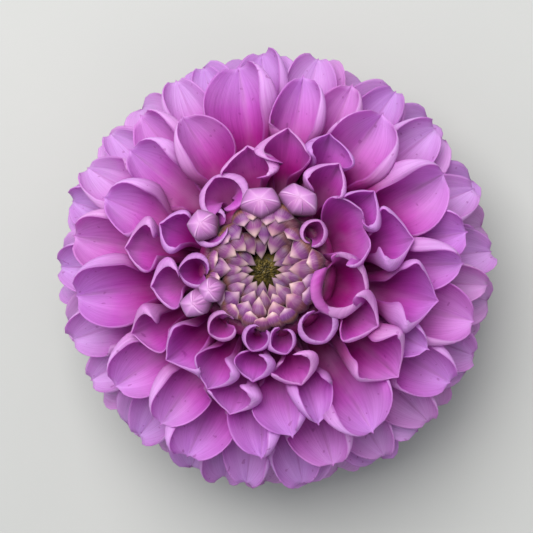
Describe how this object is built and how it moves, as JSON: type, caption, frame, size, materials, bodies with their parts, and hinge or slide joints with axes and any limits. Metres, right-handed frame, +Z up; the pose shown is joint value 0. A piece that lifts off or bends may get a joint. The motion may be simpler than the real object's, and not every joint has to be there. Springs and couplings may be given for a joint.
{
  "type": "dahlia flower",
  "caption": "Ball dahlia bloom cut just under the head, lying face up: layered rolled lilac petals round pale young florets and a small green eye.",
  "frame": {"origin": "on the surface that the bloom lies on, under the middle of its box", "axes": "+Z up through the middle of the bloom, which lies face up; +X to the right and +Y away as the picture shows it from above"},
  "size_m": [0.109, 0.1086, 0.0645],
  "materials": {
    "petals": "matt lilac petal, deep magenta towards the root, paler on the back and the rolled margins",
    "young_petals": "matt cream with lilac tips and tan bases",
    "eye": "matt dark olive green",
    "green": "smooth leaf green, slightly waxy"
  },
  "bodies": {
    "root": {"ray_florets": "petals", "young_florets": "young_petals", "green_eye": "eye", "green_calyx": "green"}
  },
  "joints": []
}
